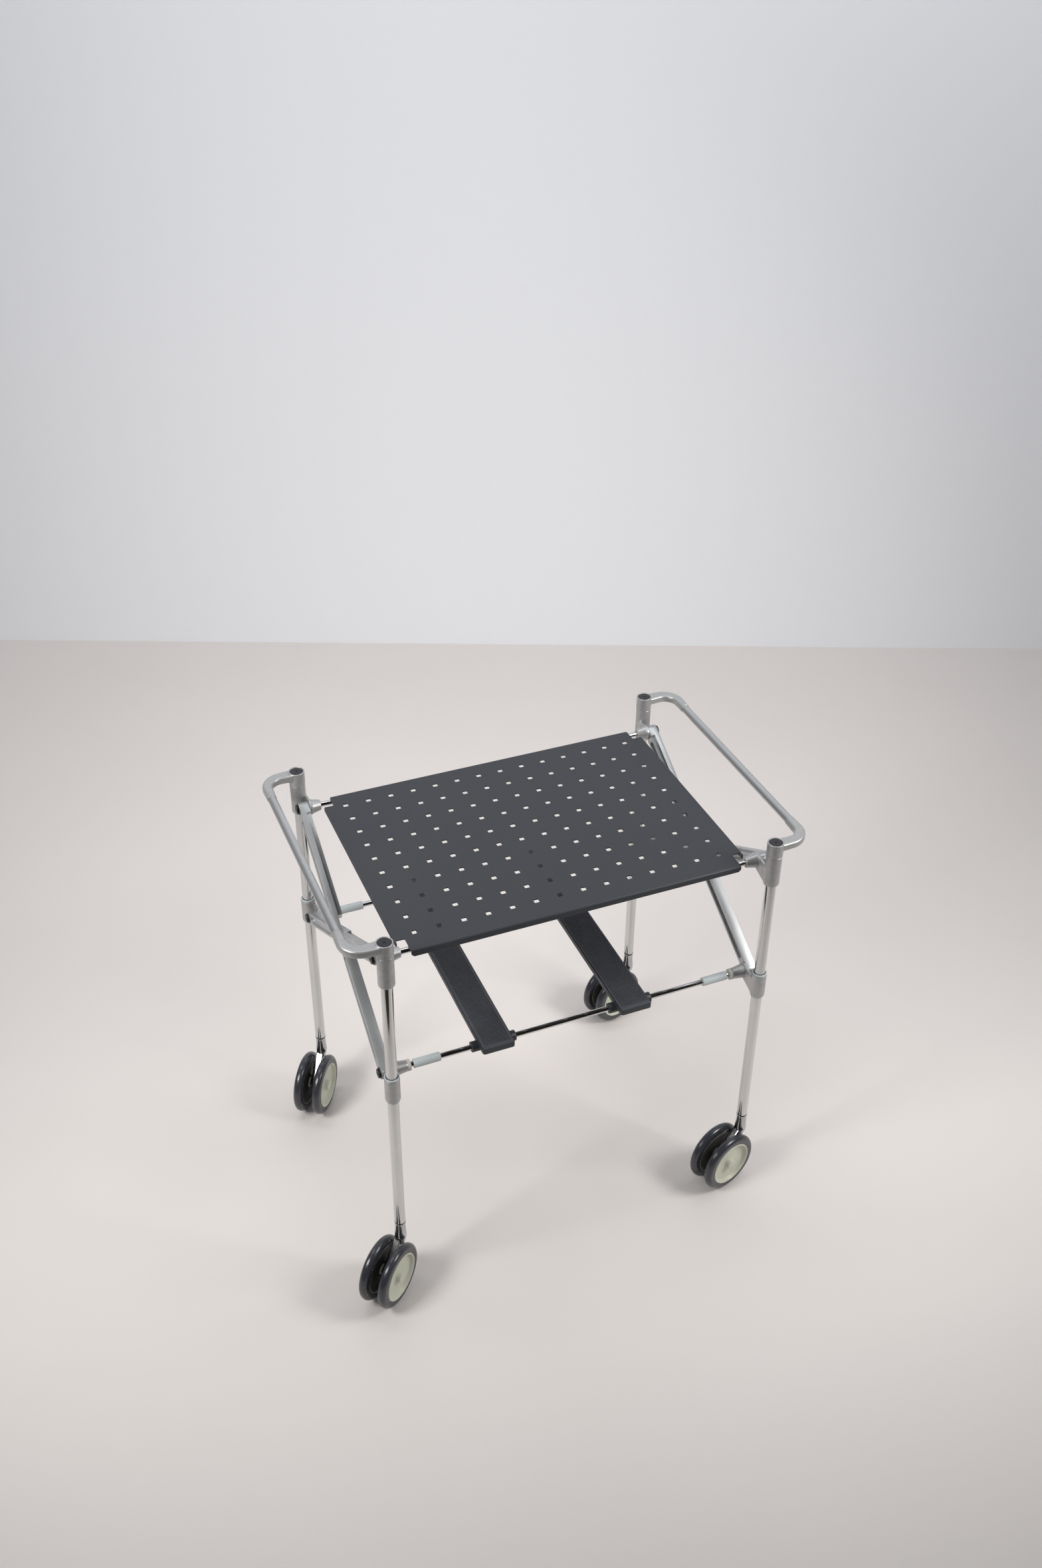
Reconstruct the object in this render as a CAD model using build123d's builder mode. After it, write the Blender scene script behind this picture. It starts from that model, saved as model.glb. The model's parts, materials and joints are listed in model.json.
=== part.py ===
"""Folding serving trolley on four twin-wheel casters: perforated tray over two
lift-up slats, X scissors at both ends and swing-out side handles."""

from math import atan2, cos, degrees, hypot, radians, sin
from pathlib import Path

from build123d import *

# ---- main layout (mm): X along the tray front, Y towards the back, Z up, floor at 0
LEG_X = 280.0                # half distance between leg axes, left to right
LEG_Y = 204.0                # half distance between leg axes, front to back
LEG_R, LEG_BORE_R = 8.0, 6.0
LEG_BOTTOM, LEG_TOP = 119.0, 610.0
FIT = 0.1                    # radial running clearance
GAP = 0.3                    # gap between faces that slide or swing past each other

# ---- cross rods and scissor pivots share the same axes
PIVOT_Y = 176.0
UPPER_Z, LOWER_Z = 597.5, 393.5
ROD_R, ROD_END = 4.0, 265.0

# ---- cast collars
COLLAR_R = 11.3
COLLAR_BOTTOM, COLLAR_TOP = 574.0, 623.5
SLIDER_R = 10.8
SLIDER_BOTTOM, SLIDER_TOP = 368.0, 408.0
BUSH_R = 9.4
LUG_OUT, LUG_IN = 273.0, 269.3
LUG_R = 12.0
# boss for the cross rod: big radius, small radius, |x| of the small end
UPPER_CONE = {"front": (11.0, 7.2, 252.0), "rear": (11.0, 7.6, 255.5)}
LOWER_CONE = (10.4, 7.9, 250.0)

# ---- plastic spacers on the lower rods
RING_X, RING_R = (250.0, 245.3), 8.2
SLEEVE_X, SLEEVE_R = (240.8, 202.0), 6.4

# ---- scissor bars
BAR_IN, BAR_OUT = 273.4, 288.0
BAR_H = 18.0
LAP_HALF = 29.0
BAR_LENGTH = hypot(2 * PIVOT_Y, UPPER_Z - LOWER_Z)
BAR_SLOPE = degrees(atan2(UPPER_Z - LOWER_Z, 2 * PIVOT_Y))
BOLT_R, CENTRE_PIN_R = 4.0, 3.2

# ---- tray
TRAY_X, TRAY_Z0, TRAY_T = 254.3, UPPER_Z + ROD_R + GAP, 2.0
TRAY_BACK, NOTCH_X = 179.5, 14.5
NOTCH_FRONT_Y, NOTCH_BACK_Y = -160.0, 158.0
FLANGE_TIP_Y, FLANGE_H = -166.0, 6.0
ROLL_Y, ROLL_R = -185.0, 3.0
HOLE, HOLE_PITCH, HOLE_COLS, HOLE_ROWS = 7.6, (34.4, 33.9), 14, 10

# ---- slats
SLAT_CENTRES = {"slat_left": -124.0, "slat_right": 84.5}
SLAT_W, SLAT_FRONT, SLAT_BACK = 47.6, -201.0, 194.0
SLAT_Z0, SLAT_TOP = LOWER_Z + ROD_R + GAP, 407.0
BARREL_R, BARREL_END = 7.6, 32.5

# ---- side handles
HUB_R, HUB_BOTTOM, HUB_TOP = 11.6, COLLAR_TOP + GAP, 645.0
ARM_Z, ARM_H = 638.0, 11.5
GRIP_X, GRIP_R, GRIP_BORE_R = 328.5, 6.2, 4.8
GRIP_HALF = 158.0
SPIGOT_R = 6.0

# ---- casters
WHEEL_R, TYRE_W, HUB_RIM_R = 49.0, 14.0, 37.0
WHEEL_SPREAD, TRAIL = 31.0, 38.0
AXLE_R = 3.5
CASTER_ANGLES = {"fl": -49.5, "fr": -73.0, "bl": -35.5, "br": -72.0}
CORNERS = {"fl": (-1, -1), "fr": (1, -1), "bl": (-1, 1), "br": (1, 1)}

pieces = {}


def side_plane(x):
    """Plane at a given X whose sketch axes are world Y and Z."""
    return Plane(origin=(x, 0, 0), x_dir=(0, 1, 0), z_dir=(1, 0, 0))


def corner_copy(part, sx, sy):
    """Carry a piece built at the front-left corner to another corner."""
    if sx > 0 and sy > 0:
        return Rot(0, 0, 180) * part
    if sx > 0:
        return mirror(part, about=Plane.YZ)
    if sy > 0:
        return mirror(part, about=Plane.XZ)
    return part


# ================================================================ legs
for tag, (sx, sy) in CORNERS.items():
    with BuildPart() as leg:
        with Locations((sx * LEG_X, sy * LEG_Y, LEG_BOTTOM)):
            Cylinder(LEG_R, LEG_TOP - LEG_BOTTOM, align=(Align.CENTER, Align.CENTER, Align.MIN))
        with BuildSketch(Plane.XY.offset(LEG_BOTTOM)):
            with Locations((sx * LEG_X, sy * LEG_Y)):
                Circle(LEG_BORE_R)
        extrude(amount=LEG_TOP - LEG_BOTTOM - 4, mode=Mode.SUBTRACT)
    pieces[f"leg_{tag}"] = leg.part


# ================================================================ cast collars
def collar(z_bottom, z_top, radius, bore_r, pivot_z, cone, spigot):
    """Leg collar with a pivot lug towards mid-depth and a boss for the cross rod."""
    big_r, small_r, cone_x = cone
    with BuildPart() as body:
        with BuildSketch(Plane.XY.offset(z_bottom)):
            with Locations((-LEG_X, -LEG_Y)):
                Circle(radius)
        extrude(amount=z_top - z_bottom)
        fillet(body.faces().sort_by(Axis.Z)[0].edges(), 2.2)
        with BuildSketch(side_plane(-LUG_OUT)) as lug:
            with BuildLine():
                CenterArc((-PIVOT_Y, pivot_z), LUG_R, 0, 360)
                Line((-LEG_Y, pivot_z + LUG_R / 2), (-LEG_Y, pivot_z - 22))
            make_hull()
        extrude(amount=LUG_OUT - LUG_IN)
        with Locations(Location((-LUG_IN, -PIVOT_Y, pivot_z), (0, 90, 0))):
            Cone(big_r, small_r, LUG_IN - cone_x, align=(Align.CENTER, Align.CENTER, Align.MIN))
        with BuildSketch(Plane.XY.offset(z_bottom)):
            with Locations((-LEG_X, -LEG_Y)):
                Circle(bore_r)
        extrude(amount=min(z_top, LEG_TOP) - z_bottom, mode=Mode.SUBTRACT)
        with BuildSketch(side_plane(-LUG_OUT)):
            with Locations((-PIVOT_Y, pivot_z)):
                Circle(BOLT_R + FIT)
        extrude(amount=LUG_OUT - ROD_END - 1.0, mode=Mode.SUBTRACT)
        with BuildSketch(side_plane(-ROD_END)):
            with Locations((-PIVOT_Y, pivot_z)):
                Circle(ROD_R)
        extrude(amount=ROD_END - cone_x, mode=Mode.SUBTRACT)
        if spigot:
            with BuildSketch(Plane.XY.offset(z_top)):
                with Locations((-LEG_X, -LEG_Y)):
                    Circle(SPIGOT_R)
            extrude(amount=14)
    return body.part


for tag, (sx, sy) in CORNERS.items():
    upper = collar(COLLAR_BOTTOM, COLLAR_TOP, COLLAR_R, LEG_R, UPPER_Z,
                   UPPER_CONE["front" if sy < 0 else "rear"], sy < 0)
    pieces[f"collar_upper_{tag}"] = corner_copy(upper, sx, sy)
    lower = collar(SLIDER_BOTTOM, SLIDER_TOP, SLIDER_R, BUSH_R, LOWER_Z, LOWER_CONE, False)
    pieces[f"collar_lower_{tag}"] = corner_copy(lower, sx, sy)

# ================================================================ cross rods
for end, sy in (("front", -1), ("rear", 1)):
    for level, z in (("upper", UPPER_Z), ("lower", LOWER_Z)):
        with BuildPart() as rod:
            with BuildSketch(side_plane(-ROD_END)):
                with Locations((sy * PIVOT_Y, z)):
                    Circle(ROD_R)
            extrude(amount=2 * ROD_END)
        pieces[f"rod_{level}_{end}"] = rod.part

# ================================================================ lower collar bushes, rings, sleeves
for end, sy in (("front", -1), ("rear", 1)):
    with BuildPart() as bushes:
        for sx in (-1, 1):
            with BuildSketch(Plane.XY.offset(SLIDER_BOTTOM)):
                with Locations((sx * LEG_X, sy * LEG_Y)):
                    Circle(BUSH_R)
            extrude(amount=SLIDER_TOP - SLIDER_BOTTOM)
            for z, thick, r in ((SLIDER_TOP, 3.0, SLIDER_R - 0.3), (SLIDER_BOTTOM - 2.5, 2.5, BUSH_R)):
                with BuildSketch(Plane.XY.offset(z)):
                    with Locations((sx * LEG_X, sy * LEG_Y)):
                        Circle(r)
                extrude(amount=thick)
            with BuildSketch(Plane.XY.offset(SLIDER_BOTTOM - 3)):
                with Locations((sx * LEG_X, sy * LEG_Y)):
                    Circle(LEG_R + FIT)
            extrude(amount=60, mode=Mode.SUBTRACT)
            with BuildSketch(side_plane(min(sx * RING_X[0], sx * RING_X[1]))):
                with Locations((sy * PIVOT_Y, LOWER_Z)):
                    Circle(RING_R)
                    Circle(ROD_R, mode=Mode.SUBTRACT)
            extrude(amount=RING_X[0] - RING_X[1])
    pieces[f"bushes_{end}"] = bushes.part

    with BuildPart() as sleeves:
        for sx in (-1, 1):
            with BuildSketch(side_plane(min(sx * SLEEVE_X[0], sx * SLEEVE_X[1]))):
                with Locations((sy * PIVOT_Y, LOWER_Z)):
                    Circle(SLEEVE_R)
                    Circle(ROD_R, mode=Mode.SUBTRACT)
            extrude(amount=SLEEVE_X[0] - SLEEVE_X[1])
    pieces[f"sleeves_{end}"] = sleeves.part


# ================================================================ scissor bars
def scissor_bar(slope, keep_outer, step_side):
    """Left-hand bar; slope is the angle above +Y of the direction to its upper end."""
    mid_z = (UPPER_Z + LOWER_Z) / 2
    along = (0, cos(radians(slope)), sin(radians(slope)))
    thick = BAR_OUT - BAR_IN
    base = Plane(origin=(-BAR_OUT, 0, mid_z), x_dir=along, z_dir=(1, 0, 0))
    with BuildPart() as bar:
        with BuildSketch(base):
            SlotCenterToCenter(BAR_LENGTH, BAR_H)
        extrude(amount=thick)
        with BuildSketch(base):
            for side in (-1, 1):
                with Locations((side * (BAR_LENGTH / 4 + 6), 0)):
                    SlotOverall(BAR_LENGTH / 2 - 50, BAR_H - 7)
        extrude(amount=3.0, mode=Mode.SUBTRACT)
        with BuildSketch(base.offset(thick / 2 + 0.5)):
            with Locations((BAR_LENGTH / 4 + 8, step_side * (BAR_H / 2 - 1.75))):
                Rectangle(BAR_LENGTH / 2 - 40, 3.5)
        extrude(amount=thick, mode=Mode.SUBTRACT)
        with BuildSketch(base.offset(thick / 2 - 0.2 if keep_outer else 0)):
            Rectangle(2 * LAP_HALF, BAR_H)
        extrude(amount=thick / 2 + 0.2, mode=Mode.SUBTRACT)
        with BuildSketch(base):
            with Locations((-BAR_LENGTH / 2, 0), (BAR_LENGTH / 2, 0)):
                Circle(BOLT_R)
            Circle(CENTRE_PIN_R + (FIT if keep_outer else 0))
        extrude(amount=thick, mode=Mode.SUBTRACT)
    return bar.part


bar_a = scissor_bar(BAR_SLOPE, True, 1)
bar_b = scissor_bar(180 - BAR_SLOPE, False, -1)
pieces["scissor_a_left"] = bar_a
pieces["scissor_a_right"] = mirror(bar_a, about=Plane.YZ)
pieces["scissor_b_left"] = bar_b
pieces["scissor_b_right"] = mirror(bar_b, about=Plane.YZ)


def shoulder_bolt(y, z, shank_r, x_tip, x_seat):
    """Bolt from the outer face of a left-hand bar inwards, with washer and socket head."""
    with BuildPart() as bolt:
        for x0, x1, r in ((x_seat, x_tip, shank_r), (x_seat + 1.0, x_seat, shank_r + 4.2),
                          (x_seat + 3.8, x_seat + 1.0, shank_r + 2.8)):
            with BuildSketch(side_plane(-x0)):
                with Locations((y, z)):
                    Circle(r)
            extrude(amount=x0 - x1)
        with BuildSketch(side_plane(-(x_seat + 3.8))):
            with Locations((y, z)):
                RegularPolygon(shank_r * 0.62, 6)
        extrude(amount=2.0, mode=Mode.SUBTRACT)
    return bolt.part


for name, sy in (("bolts_a", 1), ("bolts_b", -1)):
    with BuildPart() as bolts:
        for y, z in ((sy * PIVOT_Y, UPPER_Z), (-sy * PIVOT_Y, LOWER_Z)):
            bolt = shoulder_bolt(y, z, BOLT_R, ROD_END + 1.4, BAR_OUT)
            add(bolt)
            add(mirror(bolt, about=Plane.YZ))
    pieces[name] = bolts.part

with BuildPart() as centre_pins:
    pin = shoulder_bolt(0, (UPPER_Z + LOWER_Z) / 2, CENTRE_PIN_R, BAR_IN, BAR_OUT + GAP)
    add(pin)
    add(mirror(pin, about=Plane.YZ))
pieces["scissor_pins"] = centre_pins.part

# ================================================================ tray
with BuildPart() as tray:
    with BuildSketch(Plane.XY.offset(TRAY_Z0)):
        with Locations((0, (TRAY_BACK + ROLL_Y) / 2)):
            Rectangle(2 * TRAY_X, TRAY_BACK - ROLL_Y)
        for edge_y, notch_y in ((ROLL_Y, NOTCH_FRONT_Y), (TRAY_BACK, NOTCH_BACK_Y)):
            with Locations((-TRAY_X, edge_y), (TRAY_X, edge_y)):
                Rectangle(2 * NOTCH_X, 2 * abs(edge_y - notch_y), mode=Mode.SUBTRACT)
    extrude(amount=TRAY_T)
    fillet(tray.edges().filter_by(Axis.Z), 2.5)
    for sx in (-1, 1):
        with BuildSketch(Plane.XY.offset(TRAY_Z0 + TRAY_T)):
            with Locations((sx * (TRAY_X - 1), (NOTCH_BACK_Y + FLANGE_TIP_Y) / 2)):
                Rectangle(2, NOTCH_BACK_Y - FLANGE_TIP_Y)
        extrude(amount=-FLANGE_H)
    with BuildSketch(side_plane(-TRAY_X + NOTCH_X)):
        with Locations((ROLL_Y, TRAY_Z0 + TRAY_T - ROLL_R)):
            Circle(ROLL_R)
            with Locations((0, -6)):
                Rectangle(2 * ROLL_R, 12)
            Circle(ROLL_R - TRAY_T, mode=Mode.SUBTRACT)
            with Locations((0, -7)):
                Rectangle(2 * (ROLL_R - TRAY_T), 14, mode=Mode.SUBTRACT)
            with Locations((9.9, 0)):
                Rectangle(20, 40, mode=Mode.SUBTRACT)
            with Locations((0, -26.5)):
                Rectangle(40, 40, mode=Mode.SUBTRACT)
    extrude(amount=2 * (TRAY_X - NOTCH_X))
    chamfer(tray.edges().filter_by(Axis.Y).group_by(Axis.Z)[0], 3.5)
    for x in (-150, 150):
        with BuildSketch(side_plane(x - 15)):
            with Locations((-PIVOT_Y, UPPER_Z)):
                Circle(ROD_R + 1.6)
                with Locations((0, ROD_R + 0.5)):
                    Rectangle(9, 2)
                Circle(ROD_R + FIT, mode=Mode.SUBTRACT)
        extrude(amount=30)
    with BuildSketch(Plane.XY.offset(TRAY_Z0)):
        with GridLocations(*HOLE_PITCH, HOLE_COLS, HOLE_ROWS):
            RectangleRounded(HOLE, HOLE, 1.0)
    extrude(amount=TRAY_T, mode=Mode.SUBTRACT)
pieces["tray"] = tray.part

# ================================================================ slats
for name, cx in SLAT_CENTRES.items():
    with BuildPart() as slat:
        with BuildSketch(Plane.XY.offset(SLAT_Z0)):
            with Locations((cx, (SLAT_FRONT + SLAT_BACK) / 2)):
                RectangleRounded(SLAT_W, SLAT_BACK - SLAT_FRONT, 4)
        extrude(amount=SLAT_TOP - SLAT_Z0 - 1.5)
        with BuildSketch(Plane.XY.offset(SLAT_Z0)):
            with Locations((cx, 6)):
                RectangleRounded(SLAT_W - 8, 320, 4)
        extrude(amount=1.8, mode=Mode.SUBTRACT)
        with BuildSketch(side_plane(cx - BARREL_END)):
            with Locations((-PIVOT_Y, LOWER_Z)):
                Circle(BARREL_R)
        extrude(amount=2 * BARREL_END)
        with BuildSketch(side_plane(cx - BARREL_END)):
            with Locations((-PIVOT_Y, LOWER_Z)):
                Circle(ROD_R + FIT)
        extrude(amount=2 * BARREL_END, mode=Mode.SUBTRACT)
        with BuildSketch(side_plane(cx - SLAT_W / 2 + 3)):
            with Locations((SLAT_BACK - 4.5, SLAT_Z0 - 2.5)):
                Rectangle(3, 5)
        extrude(amount=SLAT_W - 6)
    pieces[name] = slat.part

    with BuildPart() as pad:
        with BuildSketch(Plane.XY.offset(SLAT_TOP - 1.5)):
            with Locations((cx, (SLAT_FRONT + SLAT_BACK) / 2)):
                RectangleRounded(SLAT_W - 2, SLAT_BACK - SLAT_FRONT - 2, 3)
        extrude(amount=1.5)
    pieces[f"pad_{name[5:]}"] = pad.part


# ================================================================ side handles
def elbow(pivoting):
    """Front-left handle end: hub, flat arm bending into a socket for the grip tube."""
    with BuildPart() as end:
        with BuildLine() as path:
            straight = Line((-LEG_X, -LEG_Y, ARM_Z), (-LEG_X - 24, -LEG_Y, ARM_Z))
            bend = TangentArc(straight @ 1, (-GRIP_X, -LEG_Y + 26, ARM_Z), tangent=(-1, 0, 0))
            Line(bend @ 1, (-GRIP_X, -GRIP_HALF, ARM_Z))
        with BuildSketch(Plane(origin=(-LEG_X, -LEG_Y, ARM_Z), x_dir=(0, 1, 0), z_dir=(-1, 0, 0))):
            RectangleRounded(20, ARM_H, 3.4)
        with BuildSketch(Plane(origin=bend @ 1, x_dir=(1, 0, 0), z_dir=(0, 1, 0))):
            RectangleRounded(14.4, 12.4, 4.6)
        with BuildSketch(Plane(origin=(-GRIP_X, -GRIP_HALF, ARM_Z), x_dir=(1, 0, 0), z_dir=(0, 1, 0))):
            RectangleRounded(13.8, 13.8, 6.8)
        sweep(path=path.wires()[0], multisection=True)
        with BuildSketch(Plane.XY.offset(HUB_BOTTOM)):
            with Locations((-LEG_X, -LEG_Y)):
                Circle(HUB_R)
        extrude(amount=HUB_TOP - HUB_BOTTOM)
        with BuildSketch(Plane.XY.offset(HUB_TOP)):
            with Locations((-LEG_X, -LEG_Y)):
                Circle(HUB_R - 2.0)
        extrude(amount=-3.4, mode=Mode.SUBTRACT)
        with BuildSketch(Plane.XZ.offset(GRIP_HALF)):
            with Locations((-GRIP_X, ARM_Z)):
                Circle(GRIP_BORE_R)
        extrude(amount=-14)
        with BuildSketch(Plane.XY.offset(HUB_BOTTOM)):
            with Locations((-LEG_X, -LEG_Y)):
                Circle(SPIGOT_R + FIT)
        extrude(amount=15 if pivoting else 6, mode=Mode.SUBTRACT)
    return end.part


front_end, rear_end = elbow(True), elbow(False)
for side, sx in (("left", -1), ("right", 1)):
    pieces[f"handle_{side}_front_elbow"] = corner_copy(front_end, sx, -1)
    pieces[f"handle_{side}_rear_elbow"] = corner_copy(rear_end, sx, 1)
    with BuildPart() as grip:
        with BuildSketch(Plane.XZ.offset(-GRIP_HALF)):
            with Locations((sx * GRIP_X, ARM_Z)):
                Circle(GRIP_R)
                Circle(GRIP_BORE_R, mode=Mode.SUBTRACT)
        extrude(amount=2 * GRIP_HALF)
    pieces[f"handle_{side}_grip"] = grip.part
    with BuildPart() as caps:
        with BuildSketch(Plane.XY.offset(HUB_TOP - 3.4)):
            with Locations((sx * LEG_X, -LEG_Y), (sx * LEG_X, LEG_Y)):
                Circle(HUB_R - 2.0)
        extrude(amount=3.0)
        with BuildSketch(Plane.XY.offset(HUB_TOP - 0.4)):
            with Locations((sx * LEG_X, -LEG_Y), (sx * LEG_X, LEG_Y)):
                Circle(1.3)
        extrude(amount=-1.2, mode=Mode.SUBTRACT)
    pieces[f"handle_{side}_caps"] = caps.part

# ================================================================ casters
# built with the swivel axis on Z and the axle along X, trailing towards -Y
with BuildPart() as caster_body:
    with BuildSketch(Plane.XZ):
        with BuildLine():
            Polyline((0, LEG_BOTTOM - GAP), (7.9, LEG_BOTTOM - GAP), (8.0, 104), (9.0, 92),
                     (8.2, 87), (6.0, 84), (0, 84), (0, LEG_BOTTOM - GAP))
        make_face()
    revolve(axis=Axis.Z)
    with BuildSketch(side_plane(-6.5)):
        with BuildLine():
            CenterArc((0, 86.5), 7.5, 0, 360)
            CenterArc((-TRAIL, WHEEL_R), 10, 0, 360)
        make_hull()
    extrude(amount=13)
    with BuildSketch(side_plane(-WHEEL_SPREAD / 2 - 4)):
        with Locations((-TRAIL, WHEEL_R)):
            Circle(AXLE_R)
    extrude(amount=WHEEL_SPREAD + 8)
    with BuildSketch(Plane.XY.offset(LEG_BOTTOM - GAP)):
        Circle(LEG_BORE_R - FIT)
    extrude(amount=36)

with BuildPart() as wheel_hub:
    with BuildSketch(Plane.XY):
        with BuildLine():
            Polyline((6.0, AXLE_R + FIT), (6.0, 0), (9.0, 0), (9.0, 9.5), (8.0, 11.0), (1.5, 12.0),
                     (1.5, HUB_RIM_R - 4.5), (7.0, HUB_RIM_R - 3), (7.4, HUB_RIM_R - 1.6),
                     (6.6, HUB_RIM_R), (-6.0, HUB_RIM_R), (-6.0, HUB_RIM_R - 3.5),
                     (-2.0, HUB_RIM_R - 4.5), (-2.0, 9.0), (-8.0, 8.0), (-8.0, AXLE_R + FIT),
                     (6.0, AXLE_R + FIT))
        make_face()
    revolve(axis=Axis.X)

with BuildPart() as tyre:
    with BuildSketch(Plane.XY):
        with BuildLine():
            nose = WHEEL_R - TYRE_W / 2
            shoulder = Polyline((-TYRE_W / 2, nose), (-TYRE_W / 2, HUB_RIM_R + 0.8), (-6.0, HUB_RIM_R),
                                (6.0, HUB_RIM_R), (TYRE_W / 2, HUB_RIM_R + 0.8), (TYRE_W / 2, nose))
            ThreePointArc(shoulder @ 1, (0, WHEEL_R), shoulder @ 0)
        make_face()
    revolve(axis=Axis.X)

for tag, (sx, sy) in CORNERS.items():
    place = Location((sx * LEG_X, sy * LEG_Y, 0), (0, 0, CASTER_ANGLES[tag]))
    pieces[f"caster_{tag}_body"] = place * caster_body.part
    for number, side in ((1, 1), (2, -1)):
        seat = place * Location((side * WHEEL_SPREAD / 2, -TRAIL, WHEEL_R), (0, 0, 0 if side > 0 else 180))
        pieces[f"caster_{tag}_hub_{number}"] = seat * wheel_hub.part
        pieces[f"caster_{tag}_tyre_{number}"] = seat * tyre.part

# ================================================================ common frame and export
# origin at the middle of the whole object's footprint, on the floor
box = Compound(list(pieces.values())).bounding_box()
to_origin = Pos(-(box.min.X + box.max.X) / 2, -(box.min.Y + box.max.Y) / 2, -box.min.Z)

Path("parts").mkdir(exist_ok=True)
for name, piece in pieces.items():
    finished = to_origin * piece
    finished.label = name
    export_step(finished, f"parts/{name}.step")
print(f"{len(pieces)} pieces, origin shift {to_origin.position}, size {box.size}")
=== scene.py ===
import json
import math

import bmesh
import bpy
from mathutils import Matrix, Vector


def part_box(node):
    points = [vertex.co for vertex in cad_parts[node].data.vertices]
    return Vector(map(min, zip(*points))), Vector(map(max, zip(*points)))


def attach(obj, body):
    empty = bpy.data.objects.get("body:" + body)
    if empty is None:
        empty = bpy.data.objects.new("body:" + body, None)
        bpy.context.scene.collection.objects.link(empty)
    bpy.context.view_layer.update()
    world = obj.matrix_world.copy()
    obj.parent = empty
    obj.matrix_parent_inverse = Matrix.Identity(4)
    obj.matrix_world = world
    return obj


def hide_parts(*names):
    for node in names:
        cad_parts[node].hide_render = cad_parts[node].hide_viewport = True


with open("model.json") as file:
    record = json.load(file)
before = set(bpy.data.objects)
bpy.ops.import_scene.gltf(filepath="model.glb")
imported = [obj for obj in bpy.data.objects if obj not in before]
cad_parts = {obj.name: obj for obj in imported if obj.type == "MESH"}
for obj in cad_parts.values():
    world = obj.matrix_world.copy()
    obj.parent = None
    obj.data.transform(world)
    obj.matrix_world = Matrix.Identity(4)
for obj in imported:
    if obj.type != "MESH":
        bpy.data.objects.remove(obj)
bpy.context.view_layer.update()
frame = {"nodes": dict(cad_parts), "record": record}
NODES = frame["nodes"]
BODY_OF = {name: body for body, names in frame["record"]["behaviour"]["bodies"].items() for name in names}

MM = 0.001
CORNERS = ("fl", "fr", "bl", "br")
SIDES = ("left", "right")
END_CORNERS = {"front": ("fl", "fr"), "rear": ("bl", "br")}

# camera: place in metres, angles in degrees, sensor and lens in millimetres
CAM_PLACE = Vector((-0.6777, -1.6033, 1.9070))
CAM_AZ, CAM_EL, CAM_ROLL = -22.58, 34.74, 0.495
SENSOR, LENS = 36, 35.478

# turned parts, in millimetres
CORE_R = 0.05                 # the small flat that closes a turned end
LEG_BORE_R, ROD_BORE_R = 8.12, 4.02
BAR_BOLT_R, CENTRE_PIN_R = 4.0, 3.2
WASHER_LIP, WASHER_T, HEAD_LIP, HEAD_TOP = 4.2, 1.0, 2.8, 3.8
SOCKET_SHARE = 0.62           # of the shank
CAP_SEAT_R, CAP_R = 9.6, 9.5
RING_START, RING_LONG, RING_R = 245.3, 4.7, 8.2
SLEEVE_START, SLEEVE_LONG, SLEEVE_R = 202.0, 38.8, 6.4
SEAM_HIGH, SEAM_R, SEAM_INNER_R = 1.7, 8.15, 7.6

# waffle pads, in metres
CELL, GROOVE, POCKET, POCKET_WALL = 0.0032, 0.00055, 0.0009, 0.00022
PAD_MARGIN_X, PAD_MARGIN_Y, PAD_EDGE = 0.0020, 0.0055, 0.0009
PAD_SKIRT = ((0.0004, 0.0006), (0.0011, 0.0003))      # (down, outwards) of each step of the edge

# scissor bars, in metres
BAR_END_R, CHANNEL_R, CHANNEL_DEEP = 0.009, 0.0052, 0.0034
CHANNEL_SHIFT, CHANNEL_STOP = 0.010, 0.034
BAR_EDGE, SLAT_EDGE, TRAY_EDGE = 0.0006, 0.0008, 0.0005

# stage, in metres
FLOOR_SIZE, WALL_SIZE, WALL_DISTANCE = (24, 24), (9, 5), 3.36
CARD_SIZE, CARD_FROM, CARD_GAP = (3.4, 2.4), Vector((-0.27, -0.18, 0.004)), 0.52
WASH_GAP, WASH_HIGH = 1.2, 2.6
ROOM_RADIUS, ROOM_HALF_ANGLE, ROOM_LOW, ROOM_HIGH = 3.0, 105, 0.5, 86
WORLD_STRENGTH = 0.25


def linked_object(name, data):
    obj = bpy.data.objects.new(name, data)
    bpy.context.scene.collection.objects.link(obj)
    return obj


# ------------------------------------------------------------------ camera
def aim_camera():
    """Places the scene's camera and returns the direction from the object towards it."""
    data = bpy.data.cameras.new("camera")
    cam = linked_object("camera", data)
    az, el, roll = (math.radians(v) for v in (CAM_AZ, CAM_EL, CAM_ROLL))
    back = Vector((math.sin(az) * math.cos(el), -math.cos(az) * math.cos(el), math.sin(el)))
    flat_right = Vector((math.cos(az), math.sin(az), 0))
    flat_up = back.cross(flat_right)
    right = math.cos(roll) * flat_right + math.sin(roll) * flat_up
    up = math.cos(roll) * flat_up - math.sin(roll) * flat_right
    turn = Matrix((right, up, back)).transposed()
    cam.matrix_world = Matrix.Translation(CAM_PLACE) @ turn.to_4x4()
    data.sensor_fit = "AUTO"
    data.sensor_width = SENSOR
    data.lens = LENS
    data.clip_start, data.clip_end = 0.05, 60
    bpy.context.scene.camera = cam
    return back


CAM_BACK = aim_camera()
VIEW_FLAT = Vector((-CAM_BACK.x, -CAM_BACK.y, 0)).normalized()


# ------------------------------------------------------------------ material tools
def new_material(name):
    mat = bpy.data.materials.new(name)
    mat.use_nodes = True
    nt = mat.node_tree
    nt.nodes.clear()
    out = nt.nodes.new("ShaderNodeOutputMaterial")
    bsdf = nt.nodes.new("ShaderNodeBsdfPrincipled")
    nt.links.new(bsdf.outputs[0], out.inputs[0])
    return mat, nt, bsdf


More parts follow.
